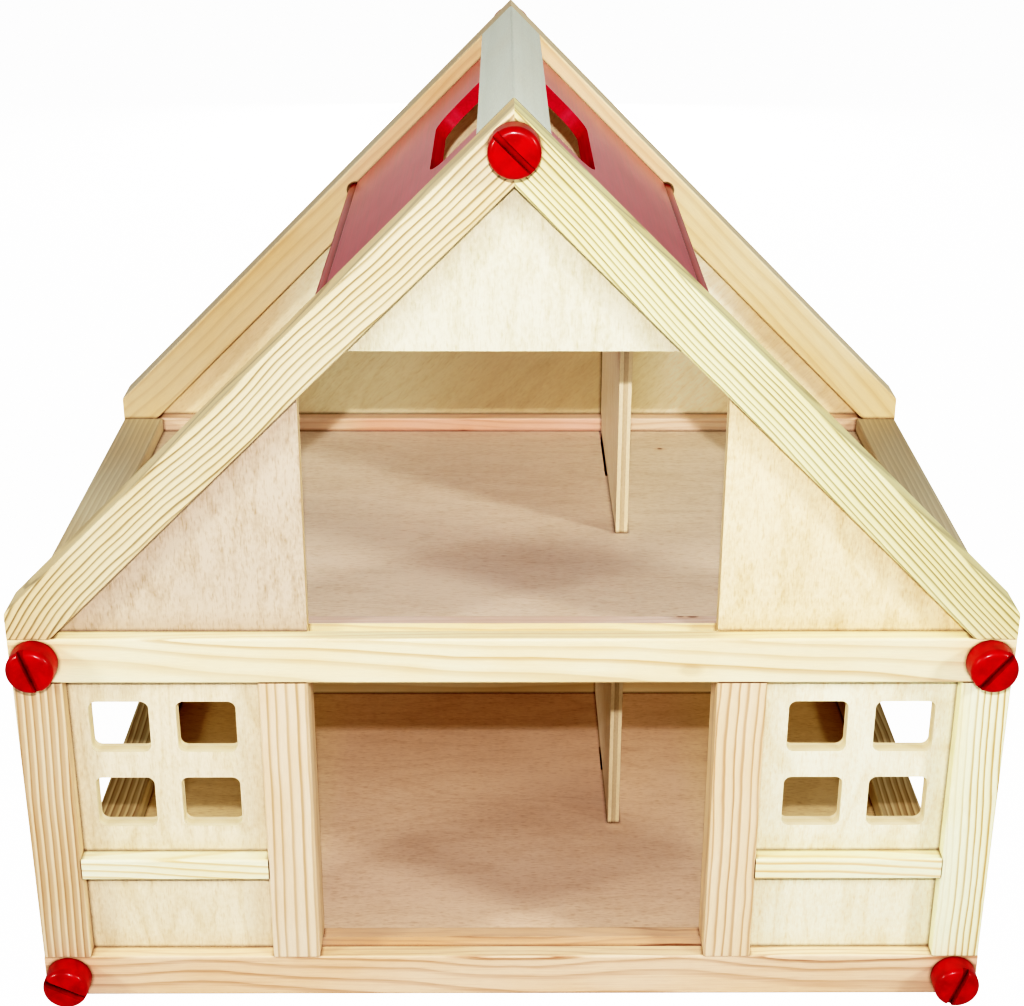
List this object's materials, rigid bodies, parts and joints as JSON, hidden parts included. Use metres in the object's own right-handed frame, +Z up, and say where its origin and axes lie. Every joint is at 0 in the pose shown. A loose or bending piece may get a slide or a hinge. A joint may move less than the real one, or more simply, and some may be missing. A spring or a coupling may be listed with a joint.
{
  "type": "wooden dollhouse",
  "caption": "Open two-storey toy house of square timber with a gabled roof, plywood walls and floors, windows, hinged red roof flaps and large slotted screws.",
  "frame": {"origin": "on the ground, in the middle of the house's footprint", "axes": "+X to the right seen from the front, +Y from the front frame to the rear frame, +Z up"},
  "size_m": [0.4, 0.276, 0.385],
  "materials": {
    "pine_stock": "planed pine with a thin clear coat",
    "wall_plywood": "sanded birch plywood",
    "floor_plywood": "sanded plywood",
    "red_stained_board": "satin red lacquer over wood",
    "red_screw": "smooth semi-gloss red"
  },
  "bodies": {
    "house": {"front_bottom_beam": "pine_stock", "front_middle_beam": "pine_stock", "front_left_post": "pine_stock", "front_right_post": "pine_stock", "front_left_rafter": "pine_stock", "front_right_rafter": "pine_stock", "rear_bottom_beam": "pine_stock", "rear_middle_beam": "pine_stock", "rear_left_post": "pine_stock", "rear_right_post": "pine_stock", "rear_left_rafter": "pine_stock", "rear_right_rafter": "pine_stock", "front_left_door_post": "pine_stock", "front_right_door_post": "pine_stock", "left_base_beam": "pine_stock", "right_base_beam": "pine_stock", "left_eave_beam": "pine_stock", "right_eave_beam": "pine_stock", "ridge_beam": "pine_stock", "left_window_rail": "pine_stock", "right_window_rail": "pine_stock", "left_front_flap_stop": "pine_stock", "left_rear_flap_stop": "pine_stock", "right_front_flap_stop": "pine_stock", "right_rear_flap_stop": "pine_stock", "left_window_panel": "wall_plywood", "right_window_panel": "wall_plywood", "left_gable_panel": "wall_plywood", "right_gable_panel": "wall_plywood", "gable_peak_panel": "wall_plywood", "rear_wall_panel": "wall_plywood", "rear_gable_panel": "wall_plywood", "partition_wall": "wall_plywood", "ground_floor": "floor_plywood", "upper_floor": "floor_plywood"},
    "left_flap": {"left_roof_flap": "red_stained_board", "left_flap_dowel": "red_stained_board"},
    "right_flap": {"right_roof_flap": "red_stained_board", "right_flap_dowel": "red_stained_board"},
    "front_ridge_screw": {"front_ridge_screw": "red_screw"},
    "front_left_eave_screw": {"front_left_eave_screw": "red_screw"},
    "front_right_eave_screw": {"front_right_eave_screw": "red_screw"},
    "front_left_base_screw": {"front_left_base_screw": "red_screw"},
    "front_right_base_screw": {"front_right_base_screw": "red_screw"},
    "rear_ridge_screw": {"rear_ridge_screw": "red_screw"},
    "rear_left_eave_screw": {"rear_left_eave_screw": "red_screw"},
    "rear_right_eave_screw": {"rear_right_eave_screw": "red_screw"},
    "rear_left_base_screw": {"rear_left_base_screw": "red_screw"},
    "rear_right_base_screw": {"rear_right_base_screw": "red_screw"}
  },
  "joints": [
    {"name": "left_flap_hinge", "type": "hinge", "parent": "house", "child": "left_flap", "pos_m": [-0.07637, 0, 0.2952], "axis": [0, -1, 0], "range_deg": [0, 225]},
    {"name": "right_flap_hinge", "type": "hinge", "parent": "house", "child": "right_flap", "pos_m": [0.07637, 0, 0.2952], "axis": [0, 1, 0], "range_deg": [0, 225]},
    {"name": "front_ridge_screw_turn", "type": "hinge", "parent": "house", "child": "front_ridge_screw", "pos_m": [0, -0.128, 0.37086], "axis": [0, -1, 0], "continuous": true},
    {"name": "front_left_eave_screw_turn", "type": "hinge", "parent": "house", "child": "front_left_eave_screw", "pos_m": [-0.19, -0.128, 0.164], "axis": [0, -1, 0], "continuous": true},
    {"name": "front_right_eave_screw_turn", "type": "hinge", "parent": "house", "child": "front_right_eave_screw", "pos_m": [0.19, -0.128, 0.164], "axis": [0, -1, 0], "continuous": true},
    {"name": "front_left_base_screw_turn", "type": "hinge", "parent": "house", "child": "front_left_base_screw", "pos_m": [-0.19, -0.128, 0.01], "axis": [0, -1, 0], "continuous": true},
    {"name": "front_right_base_screw_turn", "type": "hinge", "parent": "house", "child": "front_right_base_screw", "pos_m": [0.19, -0.128, 0.01], "axis": [0, -1, 0], "continuous": true},
    {"name": "rear_ridge_screw_turn", "type": "hinge", "parent": "house", "child": "rear_ridge_screw", "pos_m": [0, 0.128, 0.37086], "axis": [0, 1, 0], "continuous": true},
    {"name": "rear_left_eave_screw_turn", "type": "hinge", "parent": "house", "child": "rear_left_eave_screw", "pos_m": [-0.19, 0.128, 0.164], "axis": [0, 1, 0], "continuous": true},
    {"name": "rear_right_eave_screw_turn", "type": "hinge", "parent": "house", "child": "rear_right_eave_screw", "pos_m": [0.19, 0.128, 0.164], "axis": [0, 1, 0], "continuous": true},
    {"name": "rear_left_base_screw_turn", "type": "hinge", "parent": "house", "child": "rear_left_base_screw", "pos_m": [-0.19, 0.128, 0.01], "axis": [0, 1, 0], "continuous": true},
    {"name": "rear_right_base_screw_turn", "type": "hinge", "parent": "house", "child": "rear_right_base_screw", "pos_m": [0.19, 0.128, 0.01], "axis": [0, 1, 0], "continuous": true}
  ]
}
